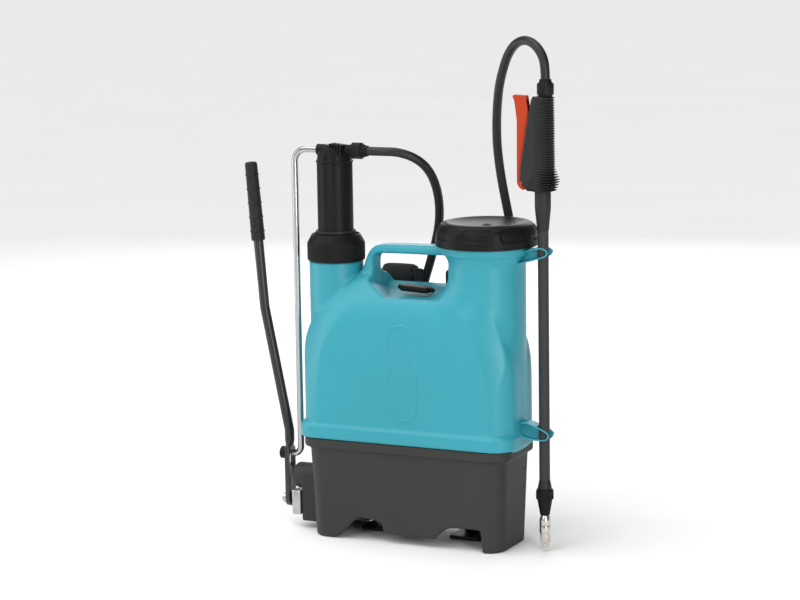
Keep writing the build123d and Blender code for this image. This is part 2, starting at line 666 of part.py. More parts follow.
inlet_top = 698.0
with BuildPart() as inlet_nut:        # holds the hose on top of the handle
    disc(inlet_x, lance_y, grip_high, 10.4, 3)
    with BuildSketch(Plane((inlet_x, lance_y, grip_high + 3))) as nut_outline:
        RegularPolygon(12.4, 12)
    extrude(nut_outline.sketch, amount=15)
    turned(inlet_x, lance_y, [(0, 691), (12, 691), (8.8, 695), (8.8, inlet_top), (0, inlet_top)])
    disc(inlet_x, lance_y, grip_high - 1, 4.0, 40, Mode.SUBTRACT)
save(inlet_nut, "inlet_nut")

# ---------------------------------------------------------------- hose
hose_route = [
    (hose_start_x, 0, head_axis_z), (-53, 0, head_axis_z), (-31, 7, 584.5), (-9.5, 19, 576.5),
    (4.5, 35, 560.5), (11, 50, 536), (12, 62, 506), (8, 70.5, 474), (-1, 75, 441), (-12.5, 77.5, 408),
    (-24, 78, 373), (-33, 78.3, 337), (-37, 78, 299), (-34, 78, 261), (-20, 78, 228), (8, 78, 205),
    (42, 78, 196), (76, 78, 201), (104, 78, 221), (122, 78, 252), (130.5, 78.5, 288), (132.5, 80, 326),
    (131.5, 82, 364), (128.5, 85, 402), (122.5, 87.5, 440), (115.5, 88.2, 478), (108, 87, 516),
    (102.5, 84, 553), (100.5, 79, 590), (101.6, 75.1, 614), (104.5, 69.3, 637), (109, 62.7, 660),
    (114.9, 55.5, 682), (122.2, 50.9, 703.6), (133.6, 43.7, 727.8), (150.5, 31.2, 744.8),
    (169.5, 17.6, 752.3), (187.9, 5.7, 750.3), (204.5, -3.3, 738.9), (inlet_x, lance_y, 720),
    (inlet_x, lance_y, inlet_top),
]


def corner_radii(route):
    """Arc at each corner: 0.45 of the shorter run over the tangent of half the turn."""
    radii = []
    for before, here, after in zip(route, route[1:], route[2:]):
        first = Vector(*here) - Vector(*before)
        second = Vector(*after) - Vector(*here)
        turn = radians(first.get_angle(second))
        radii.append(0.45 * min(first.length, second.length) / tan(turn / 2))
    return radii


hose_radii = corner_radii(hose_route)
print("hose radii", [round(radius) for radius in hose_radii])
with BuildPart() as hose:
    with BuildLine() as hose_line:
        FilletPolyline(*hose_route, radius=hose_radii)
    with BuildSketch(Plane(hose_line.line @ 0, z_dir=hose_line.line % 0)):
        Circle(hose_d / 2)
    sweep()
hose_length = sum(edge.length for edge in hose_line.edges())
print("hose length", round(hose_length, 1), "volume ratio",
      round(hose.part.volume / (hose_length * pi * hose_d**2 / 4), 4))
save(hose, "hose")

# ---------------------------------------------------------------- harness
with BuildPart() as strap_bar:        # toggle bar of the harness, in the hand recess
    with BuildSketch(Plane((0, 2, 376.5))) as bar_outline:
        RectangleRounded(46, 24, 4)
    extrude(bar_outline.sketch, amount=9)
    crossbar(-30.5, 2, 381, 4.2, 61)
save(strap_bar, "strap_bar")

pad_width = 64.0
pad_offset = 65.5
pad_outline = [
    (66.6, 364), (70.6, 364), (73.5, 384), (77, 395), (81.5, 400), (85.5, 397), (87, 388), (87.3, 300),
    (86.5, 168), (97, 165), (99.5, 300), (99, 381), (96.5, 398), (90, 408), (81, 410), (73, 403), (68.8, 390),
]
flap_width = 15.5                     # sewn flap on each pad's inner side, in front of the hose
for side, hand in ((-1, "left"), (1, "right")):
    centre = side * pad_offset
    with BuildPart() as shoulder_pad:
        side_plate(pad_outline, centre - pad_width / 2, centre + pad_width / 2)
        flap = sorted(side * x for x in (pad_offset - pad_width / 2 + 1, pad_offset - pad_width / 2 - flap_width))
        block(*flap, 66.6, 69.8, 364, 401)
    save(shoulder_pad, f"shoulder_pad_{hand}")

    with BuildPart() as strap_buckle:                     # ladder-lock adjuster under the pad
        block(centre - 20, centre + 20, 87.5, 96, 128, 164.5)
    save(strap_buckle, f"strap_buckle_{hand}")

    with BuildPart() as lower_strap:
        side_plate([(88.5, 127.8), (91.5, 127.8), (76.2, 46), (73.2, 46)], centre - 14, centre + 14)
    save(lower_strap, f"lower_strap_{hand}")

    with BuildPart() as strap_hook:                       # hooks under the base's back edge
        side_plate([
            (76.6, 45.8), (72.6, 45.8), (62.4, 36), (62.4, 7), (55.5, 7), (55.5, 36), (51.5, 36), (51.5, 2),
            (66.4, 2), (66.4, 35),
        ], centre - 16, centre + 16)
        block(*sorted((side * 50, side * 98)), 0, 64, 2, 7)         # tongue that lies under the tank
    save(strap_hook, f"strap_hook_{hand}")

with BuildPart() as strap_anchors:    # plates that fix the pads' tops to the tank
    for side in (-1, 1):
        block(side * pad_offset - 24, side * pad_offset + 24, half_depth, 66.4, 340, 372)
save(strap_anchors, "strap_anchors")
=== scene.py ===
import json
import math

import bmesh
import bpy
import numpy as np
from mathutils import Matrix, Vector


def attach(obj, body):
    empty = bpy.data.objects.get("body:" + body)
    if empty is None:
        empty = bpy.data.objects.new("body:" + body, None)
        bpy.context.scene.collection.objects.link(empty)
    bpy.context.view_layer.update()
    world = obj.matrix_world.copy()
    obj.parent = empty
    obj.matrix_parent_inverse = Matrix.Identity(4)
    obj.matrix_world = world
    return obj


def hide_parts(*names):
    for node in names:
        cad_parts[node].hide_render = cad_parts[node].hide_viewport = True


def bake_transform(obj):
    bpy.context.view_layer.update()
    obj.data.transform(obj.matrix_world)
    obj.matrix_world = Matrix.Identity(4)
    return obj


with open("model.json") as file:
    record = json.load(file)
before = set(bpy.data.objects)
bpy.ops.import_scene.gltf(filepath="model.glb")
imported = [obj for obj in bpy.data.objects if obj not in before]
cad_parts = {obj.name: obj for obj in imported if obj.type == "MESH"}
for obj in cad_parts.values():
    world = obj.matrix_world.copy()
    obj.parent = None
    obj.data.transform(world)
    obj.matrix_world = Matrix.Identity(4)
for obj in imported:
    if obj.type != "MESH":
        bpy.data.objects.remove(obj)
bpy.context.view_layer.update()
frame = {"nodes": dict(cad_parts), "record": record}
NODES = frame["nodes"]
MM = 0.001


# ------------------------------------------------------------------ materials
def material(name, color, rough, metal=0.0, tint=0.08, blotch=9.0, grain=1400.0, bump=0.10, spread=0.10,
             edge_wear_and_highlight=0.0, coat=0.0, sheen=0.0, specular=0.5, weave=0.0, brushed=0.0):
    """Moulded, painted, woven or metal finish: slow colour change, fine grain, and convex edges painted
    lighter, partly as wear and partly as a painted highlight.
    """
    made = bpy.data.materials.new(name)
    made.use_nodes = True
    nodes, links = made.node_tree.nodes, made.node_tree.links
    shader = nodes["Principled BSDF"]
    shader.inputs["Metallic"].default_value = metal
    shader.inputs["Coat Weight"].default_value = coat
    shader.inputs["Coat Roughness"].default_value = 0.25
    shader.inputs["Sheen Weight"].default_value = sheen
    shader.inputs["Specular IOR Level"].default_value = specular
    place = nodes.new("ShaderNodeTexCoord")

    def noise(scale, detail):
        made_noise = nodes.new("ShaderNodeTexNoise")
        made_noise.inputs["Scale"].default_value = scale
        made_noise.inputs["Detail"].default_value = detail
        links.new(place.outputs["Object"], made_noise.inputs["Vector"])
        return made_noise.outputs["Fac"]

    def remap(source, low, high):
        ranged = nodes.new("ShaderNodeMapRange")
        ranged.inputs["From Min"].default_value = 0.3
        ranged.inputs["From Max"].default_value = 0.7
        ranged.inputs["To Min"].default_value = low
        ranged.inputs["To Max"].default_value = high
        links.new(source, ranged.inputs["Value"])
        return ranged.outputs["Result"]

    def mix(factor, first, second):
        mixed = nodes.new("ShaderNodeMix")
        mixed.data_type = "RGBA"
        for socket, value in ((0, factor), (6, first), (7, second)):
            if isinstance(value, bpy.types.NodeSocket):
                links.new(value, mixed.inputs[socket])
            elif socket == 0:
                mixed.inputs[socket].default_value = value
            else:
                mixed.inputs[socket].default_value = (*value, 1.0)
        return mixed.outputs[2]

    slow = noise(blotch, 3.0)
    fine = noise(grain, 2.0)
    dark = [c * (1 - tint) for c in color]
    light = [min(1.0, c * (1 + tint)) for c in color]
    shade = mix(remap(slow, 0.0, 1.0), dark, light)
    speck = mix(remap(fine, 0.0, 0.35), shade, [c * 0.82 for c in color])
    # Convex edges, found by pointiness, are painted lighter: partly edge wear, partly a painted highlight.
    if edge_wear_and_highlight:
        geometry = nodes.new("ShaderNodeNewGeometry")
        edge = nodes.new("ShaderNodeMapRange")
        edge.inputs["From Min"].default_value = 0.53
        edge.inputs["From Max"].default_value = 0.62
        edge.inputs["To Max"].default_value = edge_wear_and_highlight
        links.new(geometry.outputs["Pointiness"], edge.inputs["Value"])
        speck = mix(edge.outputs["Result"], speck, [min(1.0, c * 1.9 + 0.03) for c in color])
    links.new(speck, shader.inputs["Base Color"])
    links.new(remap(slow, rough - spread / 2, rough + spread / 2), shader.inputs["Roughness"])

    height = fine
    if weave:
        waves = []
        for direction in ("X", "Z"):
            wave = nodes.new("ShaderNodeTexWave")
            wave.bands_direction = direction
            wave.inputs["Scale"].default_value = weave
            wave.inputs["Distortion"].default_value = 0.6
            links.new(place.outputs["Object"], wave.inputs["Vector"])
            waves.append(wave.outputs["Fac"])
        crossed = nodes.new("ShaderNodeMath")
        crossed.operation = "MULTIPLY"
        links.new(waves[0], crossed.inputs[0])
        links.new(waves[1], crossed.inputs[1])
        height = crossed.outputs[0]
    if brushed:
        stretch = nodes.new("ShaderNodeMapping")
        stretch.inputs["Scale"].default_value = (brushed, brushed, brushed * 0.03)
        links.new(place.outputs["Object"], stretch.inputs["Vector"])
        streak = nodes.new("ShaderNodeTexNoise")
        streak.inputs["Scale"].default_value = 1.0
        links.new(stretch.outputs["Vector"], streak.inputs["Vector"])
        height = streak.outputs["Fac"]
    relief = nodes.new("ShaderNodeBump")
    relief.inputs["Strength"].default_value = bump
    relief.inputs["Distance"].default_value = 0.0004
    links.new(height, relief.inputs["Height"])
    links.new(relief.outputs["Normal"], shader.inputs["Normal"])
    return made


MATS = {
    "tank_teal": material("tank_teal", (0.030, 0.300, 0.372), 0.40, tint=0.05, blotch=6, grain=900, bump=0.10,
                          edge_wear_and_highlight=0.12, coat=0.04, specular=0.35),
    "base_grey": material("base_grey", (0.033, 0.034, 0.031), 0.55, tint=0.10, blotch=7, grain=1100,
                          bump=0.30, edge_wear_and_highlight=0.20, specular=0.25),
    "black_plastic": material("black_plastic", (0.0075, 0.0078, 0.0072), 0.42, tint=0.14, grain=1300,
                              bump=0.18, edge_wear_and_highlight=0.25, specular=0.12),
    "lever_black": material("lever_black", (0.0065, 0.0065, 0.0065), 0.38, tint=0.15, blotch=30, grain=2200,
                            bump=0.14, edge_wear_and_highlight=0.35, coat=0.2),
    "rod_chrome": material("rod_chrome", (0.46, 0.47, 0.475), 0.20, metal=1.0, tint=0.04, blotch=40,
                           grain=900, bump=0.02, spread=0.08),
    "zinc_steel": material("zinc_steel", (0.52, 0.52, 0.50), 0.36, metal=1.0, tint=0.12, blotch=60, bump=0.10,
                           brushed=900.0),
    "hose_rubber": material("hose_rubber", (0.0060, 0.0060, 0.0060), 0.44, tint=0.18, blotch=14, grain=1800,
                            bump=0.12, specular=0.45),
    "grip_rubber": material("grip_rubber", (0.0080, 0.0080, 0.0076), 0.58, tint=0.15, blotch=20, grain=1500,
                            bump=0.30, edge_wear_and_highlight=0.25, specular=0.35),
    "seal_rubber": material("seal_rubber", (0.015, 0.015, 0.015), 0.60, grain=1500, bump=0.2),
    "lance_grey": material("lance_grey", (0.021, 0.0235, 0.0235), 0.44, tint=0.10, blotch=12, grain=1400,
                           bump=0.16, edge_wear_and_highlight=0.25, specular=0.2),
    "trigger_orange": material("trigger_orange", (0.43, 0.038, 0.006), 0.45, tint=0.07, blotch=25, grain=1200,
                               bump=0.12, edge_wear_and_highlight=0.10, specular=0.25),
    "nozzle_metal": material("nozzle_metal", (0.66, 0.62, 0.57), 0.24, metal=1.0, tint=0.10, blotch=90,
                             grain=1200, bump=0.08),
    "valve_brass": material("valve_brass", (0.70, 0.50, 0.24), 0.28, metal=1.0, tint=0.10, blotch=80,
                            bump=0.06),
    "spring_steel": material("spring_steel", (0.55, 0.55, 0.56), 0.30, metal=1.0, tint=0.08, blotch=80,
                             bump=0.05),
    "pump_white": material("pump_white", (0.66, 0.66, 0.63), 0.48, tint=0.05, blotch=12, grain=900,
                           bump=0.10),
    "pad_fabric": material("pad_fabric", (0.0090, 0.0090, 0.0095), 0.86, tint=0.22, blotch=22, bump=0.85,
                           sheen=0.25, weave=420.0, specular=0.2),
    "webbing": material("webbing", (0.0085, 0.0085, 0.0088), 0.80, tint=0.2, blotch=26, bump=0.9, sheen=0.2,
                        weave=300.0, specular=0.2),
}

for row in frame["record"]["subparts"]:
    node = NODES[row["node"]]
    node.data.materials.clear()
    node.data.materials.append(MATS[row["material_slot"]])
    for face in node.data.polygons:
        face.material_index = 0


# ------------------------------------------------------------------ distance fields, in millimetres
def smin(a, b, k):
    """Union of two fields, blended over k."""
    share = np.clip(0.5 + 0.5 * (b - a) / k, 0, 1)
    return b + (a - b) * share - k * share * (1 - share)


def smax(a, b, k):
    """Intersection of two fields, blended over k."""
    return -smin(-a, -b, k)


def ease(value):
    t = np.clip(value, 0, 1)
    return t * t * (3 - 2 * t)


def outline_distance(points, u, v):
    """Signed distance, negative inside, from a grid of (u, v) to a closed outline."""
    uu, vv = np.meshgrid(u, v, indexing="ij")
    best = np.full(uu.shape, 1e9)
    inside = np.zeros(uu.shape, bool)
    for (ax, ay), (bx, by) in zip(points, points[1:] + points[:1]):
        ex, ey = bx - ax, by - ay
        wx, wy = uu - ax, vv - ay
        t = np.clip((wx * ex + wy * ey) / (ex * ex + ey * ey), 0, 1)
        best = np.minimum(best, (wx - ex * t) ** 2 + (wy - ey * t) ** 2)
        above, next_above = vv >= ay, vv >= by
        side = ex * wy - ey * wx
        inside ^= (above & ~next_above & (side < 0)) | (~above & next_above & (side > 0))
    return np.where(inside, -1, 1) * np.sqrt(best)


def rounder(points, rounds=2):
    """Closed outline with its corners cut again and again, so that it runs as a curve."""
    for _ in range(rounds):
        cut = []
        for (ax, ay), (bx, by) in zip(points, points[1:] + points[:1]):
            cut += [(0.75 * ax + 0.25 * bx, 0.75 * ay + 0.25 * by),
                    (0.25 * ax + 0.75 * bx, 0.25 * ay + 0.75 * by)]
        points = cut
    return points


def rounded_box(x, y, half_x, half_y, radius):
    qx, qy = np.abs(x) - half_x + radius, np.abs(y) - half_y + radius
    return np.hypot(np.maximum(qx, 0), np.maximum(qy, 0)) + np.minimum(np.maximum(qx, qy), 0) - radius


def skin(field, low, step):
    """Mesh of a field's zero surface: one point in each cell and one face on each grid edge it crosses."""
    shape = np.array(field.shape)
    cells = shape - 1
    total = int(cells.prod())
    strides = np.array([cells[1] * cells[2], cells[2], 1])
    count, sums = np.zeros(total), np.zeros((3, total))
    faces = []
    for axis in range(3):
        near = [slice(None)] * 3
        far = [slice(None)] * 3
        near[axis], far[axis] = slice(0, -1), slice(1, None)
        f0, f1 = field[tuple(near)], field[tuple(far)]
        where = np.argwhere((f0 < 0) != (f1 < 0))
        a, b = f0[tuple(where.T)], f1[tuple(where.T)]
        point = where.astype(float)
        point[:, axis] += a / (a - b)
        others = [o for o in range(3) if o != axis]
        corner = []
        for du, dv in ((0, 0), (-1, 0), (-1, -1), (0, -1)):
            cell = where.copy()
            cell[:, others[0]] += du
            cell[:, others[1]] += dv
            good = ((cell >= 0) & (cell < cells)).all(1)
            flat = (cell * strides).sum(1)
            count += np.bincount(flat[good], minlength=total)
            for k in range(3):
                sums[k] += np.bincount(flat[good], weights=point[good, k], minlength=total)
            corner.append(np.where(good, flat, -1))
        quad = np.stack(corner, 1)
        turn = (a < 0) ^ (axis == 1)
        quad = np.where(turn[:, None], quad, quad[:, ::-1])
        faces.append(quad[(quad >= 0).all(1)])
    used = np.nonzero(count)[0]
    index = np.full(total, -1)
    index[used] = np.arange(len(used))
    points = (sums[:, used] / count[used]).T * step + np.array(low)
    return points, index[np.concatenate(faces)]


def sculpt(name, make_field, low, high, step, mat, body, replaced, relax=1):
    """Builds a piece from a distance field sampled on a grid, in millimetres."""
    axes = [np.arange(low[k], high[k] + step, step) for k in range(3)]
    field = make_field(*axes)
    points, quads = skin(field, low, step)
    mesh = bpy.data.meshes.new(name)
    mesh.from_pydata((points * MM).tolist(), [], quads.tolist())
    mesh.validate()
    piece = bpy.data.objects.new(name, mesh)
    bpy.context.collection.objects.link(piece)
    if relax:
        form = bmesh.new()
        form.from_mesh(mesh)
        for _ in range(relax):
            bmesh.ops.smooth_vert(form, verts=form.verts, factor=0.5, use_axis_x=True, use_axis_y=True,
                                  use_axis_z=True)
        form.to_mesh(mesh)
        form.free()
    return finish_piece(piece, mat, body, replaced)


def finish_piece(piece, mat, body, replaced):
    """Gives a piece its material and slot and the body it rides on, and hides the CAD nodes it stands for."""
    piece.data.materials.append(MATS[mat])
    for face in piece.data.polygons:
        face.use_smooth = True
    if body:
        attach(piece, body)
    if replaced:
        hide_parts(*replaced)
    return piece


# ------------------------------------------------------------------ tank
PUMP_X, FILLER_X = -132.3, 117.0            # the two columns
LANCE_X, LANCE_Y = 209.4, -8.0
PAD_X = 65.5                                # each pad's middle, left and right of the centre
BAR_Z = 381                                 # toggle bar's height
STEP = 1.9

SHIELD = [(-141, 150), (-141, 179), (-138, 225), (-131.7, 269), (-125.7, 295), (-114.5, 318), (-93, 337),
          (-61, 346.5), (1.5, 352), (53, 353), (90, 343), (113, 326), (126, 305), (136, 271), (144, 225),
          (147, 181), (147, 150)]
SIDE = [(-84, 140), (-84, 150), (-84, 316), (-64, 350), (-50, 373), (-21, 406), (21, 406), (56, 390),
        (70, 372), (84, 340), (84, 150), (84, 140)]
FRONT = [(-200, 140), (-200, 150), (-192, 280), (-172, 314), (-137, 358), (-92, 402), (-80, 420), (62, 420),
         (68, 388), (86, 374), (112, 362), (142, 338), (166, 312), (192, 262), (200, 150), (200, 140)]
RECESS = [(-90, 376), (-50, 374.5), (-36, 369), (22, 371), (48, 383), (90, 387), (90, 500), (-90, 500)]
HANDLE = [(-104, 372), (-88, 398), (-80, 414), (-74, 431), (-66, 442), (-52, 448.5), (90, 448.5), (90, 434.5),
          (-52, 434.5), (-61, 431), (-63.6, 422), (-63.6, 360), (-104, 360)]


def tank_field(x, y, z):
    """Tank: body with two columns, handle, hand recess, seating band and the part inside the base."""
    X, Y, Z = x[:, None, None], y[None, :, None], z[None, None, :]
    flat = lambda points, u, v, rounds: outline_distance(rounder(points, rounds), u, v)
    side = flat(SIDE, y, z, 2)[None, :, :]
    front = flat(FRONT, x, z, 2)[:, None, :]
    shield = outline_distance(rounder(SHIELD, 2), x, z)[:, None, :]
    away = np.clip(shield, 0, None)
    sink = 0.34 * away + away * away / 160
    body = smax(rounded_box(X - 0.25, Y, 173.25, 64, 41), side, 16)
    body = smax(body, front, 20)
    body = smax(body, -Y - 64 + sink, 0.8)
    floor = flat(RECESS, y, z, 1)[None, :, :]
    recess = smax(smax(floor, -63.6 - X, 5), X - 84, 5)
    crease = 372 + 0.75 * (-38 - 0.35 * (Y + 20) - X) - Z       # slanted facet in the front corner
    recess = smax(recess, crease, 1.5)
    crease = 372 + 0.55 * (X - 40 + 0.5 * (Y + 20)) - Z
    recess = smax(recess, np.where(Y < 10, crease, -60), 1.5)
    body = smax(body, -recess, 5)

    pump = np.hypot(X - PUMP_X, Y)
    filler = np.hypot(X - FILLER_X, Y)
    column = smax(pump - 41, np.maximum(150 - Z, Z - 418.6), 2)
    body = smin(body, column, 3.5)
    reach = 57 + 12 * ease((Z - 424) / 30) - 1.6 * ease((330 - Z) / 60)
    column = smax(filler - reach, np.maximum(150 - Z, Z - 453), 3)
    blend = 3 + 24 * ease((Z - 300) / 60)
    body = smin(body, column, blend)

    bar = smax(flat(HANDLE, x, z, 2)[:, None, :], np.abs(Y) - 17, 8)
    bar = smax(bar, X - 84, 2)
    body = smin(body, bar, 7)

    rim = rounded_box(X, Y, 175, 68.5, 30)
    band = smax(smax(rim, rim + 0.9 * (Z - 173.5), 1.5), np.maximum(155 - Z, Z - 178.5), 1.5)
    bucket = smax(rounded_box(X, Y - 2, 151, 56, 30), np.maximum(43 - Z, Z - 160), 12)
    body = np.minimum(smin(body, band, 1.6), bucket)

    neck = np.minimum(np.maximum(pump - 37.5, np.maximum(400 - Z, Z - 446)),
                      np.maximum(filler - 67, np.maximum(440 - Z, Z - 474)))
    body = np.minimum(body, neck)
    ribs = [np.maximum(np.maximum(np.abs(X) - 60, np.abs(Z - 218 - 55 * k) - 3), np.abs(Y - 64) - 1.9)
            for k in range(3)]
    body = smin(body, np.minimum(np.minimum(ribs[0], ribs[1]), ribs[2]), 3)
    mouth = np.maximum(filler - 53.5 - 9.7 * np.clip((Z - 430) / 22, 0, 1), 368 - Z)
    bore = np.maximum(pump - 31.6, 150 - Z)
    return np.maximum(body, -np.minimum(mouth, bore))


tank = sculpt("tank_body", tank_field, (-181, -75, 37), (191, 75, 480), STEP, "tank_teal", None,
              ["tank_shell"])


def badge_distance(x, z):
    """Distance from the outline of the blank oblong badge, in millimetres."""
    half_height = 71.5 - 23
    return math.hypot(x - 5, max(0.0, abs(z - 263.5) - half_height)) - 23


def raise_badge(piece):
    """Fine raised outline on the flat front, drawn as geometry."""
    form = bmesh.new()
    form.from_mesh(piece.data)
    for _ in range(2):
        near = [e for e in form.edges if all(
            v.co.y < -0.060 and abs(badge_distance(v.co.x / MM, v.co.z / MM)) < 3.4 for v in e.verts)]
        bmesh.ops.subdivide_edges(form, edges=near, cuts=1, use_grid_fill=True)
    for v in form.verts:
        if v.co.y < -0.060:
            apart = badge_distance(v.co.x / MM, v.co.z / MM)
            v.co.y -= 0.0010 * math.exp(-(apart / 0.9) ** 2)
    form.to_mesh(piece.data)
    form.free()
    for face in piece.data.polygons:
        face.use_smooth = True


raise_badge(tank)
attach(tank, "tank")

# ------------------------------------------------------------------ lance clips
CLIP_UPPER = [(158, 424), (176, 446), (190, 451), (200, 453.5), (212, 455), (219.8, 450.5), (220.3, 444),
              (214, 439.5), (196, 434.5)]
CLIP_LOWER = [(170, 193), (181.7, 196), (200, 190), (217.5, 183), (221, 177), (218, 170.5), (212, 168),
              (192, 168), (172, 172)]


def clip_field(points, tip):
    """Gusset with an open pocket, a seat for the lance, and a back arm whose tip is at height tip."""
    def field(x, y, z):
        X, Y, Z = x[:, None, None], y[None, :, None], z[None, None, :]
        plate = outline_distance(rounder(points, 2), x, z)[:, None, :]
        gusset = smax(plate, np.abs(Y - LANCE_Y) - 11.3, 2)
        pocket = smax(plate + 2.3, Y + 6.0, 0.8)
        slot = np.maximum(np.abs(Y - LANCE_Y) - 8.35, 200.5 - X)
        seat = np.hypot(X - LANCE_X, Y - LANCE_Y) - 8.5
        cut = np.minimum(np.minimum(slot, seat), pocket)
        form = smax(gusset, -cut, 0.8)
        hook = smax(np.hypot(X - 217, Z - tip) - 3.8, np.abs(Y - 1.7) - 1.7, 0.8)
        arm = smax(np.maximum(np.abs(X - 207) - 10, np.abs(Z - tip) - 3.8), np.abs(Y - 1.7) - 1.7, 0.8)
        return np.minimum(form, np.minimum(hook, arm))
    return field


for name, points, tip in (("lance_clip_upper", CLIP_UPPER, 447.5), ("lance_clip_lower", CLIP_LOWER, 177)):
    xs, zs = [p[0] for p in points], [p[1] for p in points]
    sculpt(name, clip_field(points, tip), (min(xs) - 2, -22, min(zs) - 3), (223, 6, max(zs) + 3), 0.85,
           "tank_teal", "tank", ["lance_clips"])

# ------------------------------------------------------------------ base
ARCH_LEFT = [(-124, -30), (-119, -4), (-106, 6), (-93, 18), (-82, 31), (-72, 35), (-37, 32.5), (-34.2, 16),
             (-34.2, -30)]
ARCH_RIGHT = [(52, -30), (52, 16), (60, 22), (70, 31), (80, 33.5), (122, 34.5), (126.5, 32), (128, -30)]
ARCH_BACK = [(-118, -30), (-112, 0), (-86, 31), (86, 31), (112, 0), (118, -30)]


def base_field(x, y, z):
    """Base skirt with its rim, the lever's side block, arches between the feet, and a hollow inside."""
    X, Y, Z = x[:, None, None], y[None, :, None], z[None, None, :]
    lean = (136 - Z) * 0.0367
    wall = rounded_box(X, Y - 1.5, 161 - lean, 63 - lean, 27)
    body = smax(wall, np.maximum(-Z, Z - 140), 3)
    flare = 8.5 * ease((Z - 134.5) / 7)
    rim = smax(rounded_box(X, Y - 0.5, 161 + flare, 58 + flare, 29), np.maximum(135 - Z, Z - 154.4), 1.2)
    body = smin(body, rim, 2)
    block = smax(np.maximum(np.maximum(-191.8 - X, X + 150), np.abs(Y) - 19.8), np.maximum(11 - Z, Z - 76), 3)
    boss = smax(np.hypot(Y, Z - 79) - 20, np.maximum(-207.6 - X, X + 150), 7)
    bracket_room = np.maximum(np.maximum(-230 - X, X + 191.6), np.maximum(-30 - Z, Z - 59))
    side = smax(smin(block, boss, 3), -bracket_room, 0.8)
    body = smin(body, side, 5)
    for arch, near, far in ((ARCH_LEFT, -90, 0), (ARCH_RIGHT, -90, 0), (ARCH_BACK, 0, 90)):
        gap = outline_distance(rounder(arch, 1), x, z)[:, None, :]
        arch_cut = smax(gap, np.maximum(near - Y, Y - far), 3)
        body = smax(body, -arch_cut, 5)
    body = smax(body, -np.where(Z < 15, np.maximum(np.maximum(np.abs(X - 9) - 44, Z - 15), Y), 60), 3)
    under = smax(rounded_box(X, Y - 1.5, 151, 53, 22), Z - 37, 3)
    inside = np.maximum(rounded_box(X, Y - 1.5, 157.2 - lean, 59.2 - lean, 24), 40 - Z)
    rim_inside = np.maximum(rounded_box(X, Y - 0.5, 158, 60, 27), 135.5 - Z)
    for cut in (under, inside, rim_inside):
        body = np.maximum(body, -cut)
    for k, level in enumerate((112, 84, 56)):                  # small moulding nubs on the back corner
        nub = np.sqrt((X - 160.2 + 1.0 * k) ** 2 + (Y - 34) ** 2 + (Z - level) ** 2) - 1.9
        body = smin(body, nub, 1)
    return body


sculpt("base_body", base_field, (-213, -77, -4), (177, 79, 160), STEP, "base_grey", "tank",
       ["base_shell"])


# ------------------------------------------------------------------ turned pieces
def lathe(name, profile, mat, body, replaced, centre, segments=192, shape=None, closed=True, axis=None,
          origin=None):
    """Turned piece from (radius, height) points; shape(angle, radius, height) moves a point outwards."""
    form = bmesh.new()
    rings = []
    for r, z in profile:
        ring = []
        for k in range(segments):
            angle = 2 * math.pi * k / segments
            out = r + (shape(angle, r, z) if shape else 0)
            ring.append(form.verts.new((out * math.cos(angle) * MM, out * math.sin(angle) * MM, z * MM)))
        rings.append(ring)
    pairs = list(zip(rings, rings[1:] + rings[:1])) if closed else list(zip(rings, rings[1:]))
    for lower, upper in pairs:
        for k in range(segments):
            nxt = (k + 1) % segments
            form.faces.new((lower[k], lower[nxt], upper[nxt], upper[k]))
    if not closed:
        form.faces.new(rings[0][::-1])
        form.faces.new(rings[-1])
    bmesh.ops.recalc_face_normals(form, faces=form.faces)
    mesh = bpy.data.meshes.new(name)
    form.to_mesh(mesh)
    form.free()
    piece = bpy.data.objects.new(name, mesh)
    bpy.context.collection.objects.link(piece)
    if axis is None:
        place = Matrix.Translation((centre[0] * MM, centre[1] * MM, 0))
    else:
        turn = Vector((0, 0, 1)).rotation_difference(Vector(axis).normalized()).to_matrix().to_4x4()
        place = Matrix.Translation(Vector(origin) * MM) @ turn
    mesh.transform(place)
    return finish_piece(piece, mat, body, replaced)


def dense(points, pitch=1.2):
    """The same outline with points no further apart than pitch."""
    out = []
    for (ax, ay), (bx, by) in zip(points, points[1:]):
        steps = max(1, int(math.hypot(bx - ax, by - ay) / pitch))
        out += [(ax + (bx - ax) * k / steps, ay + (by - ay) * k / steps) for k in range(steps)]
    return out + [points[-1]]


def panels(angle, r, z):
    """Eight shallow finger panels round the cap."""
    if r < 60 or z < 458:
        return 0
    place = (math.degrees(angle) + 10) % 45 - 22.5
    across = math.radians(place) * 76
    along = z - 474
    far = math.hypot(max(0, abs(across) - 18), max(0, abs(along) - 3.0)) - 6
    return -1.9 * float(ease((1.2 - far) / 2.0)) * float(ease((484.5 - z) / 4))


CAP = [(4.4, 479.6), (72.4, 479.6), (72.4, 453.2), (75.4, 453.2), (76, 454), (76, 466), (75.7, 471),
       (74.4, 476.5), (71.6, 481.2), (67.5, 485), (63, 487.3), (59.5, 488), (56.5, 487.6), (50, 485.6),
       (40, 483.6), (26, 482.5), (12, 482.1), (8.2, 482.3), (7.2, 483.1), (6, 483.3), (4.4, 483.2)]
lathe("cap_body", dense(CAP, 0.9), "black_plastic", "cap", ["filler_cap"], (FILLER_X, 0), 288, panels)
lathe("vent_plug", [(3.9, 476), (3.9, 482.4), (3.2, 483.6), (1.4, 484.1), (0.2, 484.2)], "seal_rubber",
      "cap_carrier", ["vent_valve"], (FILLER_X, 0), 48, closed=False)


def nut_ribs(angle, r, z):
    """Fine upright ribs round the collar nut."""
    return 0.32 * math.cos(72 * angle) if r > 43 and 420 < z < 446 else 0


NUT = [(37.9, 419), (42.9, 419), (43.5, 419.8), (43.5, 444.5), (43.1, 446.6), (41.6, 449.6), (38.4, 455),
       (37, 457.6), (36.2, 458.8), (35.2, 459), (34.6, 458.2), (34.2, 456), (33, 455.4), (31.6, 455.4),
       (31.6, 452.3), (37.9, 452.3)]
lathe("collar_ring", dense(NUT, 2.5), "black_plastic", "tank", ["collar_nut"], (PUMP_X, 0), 432, nut_ribs)

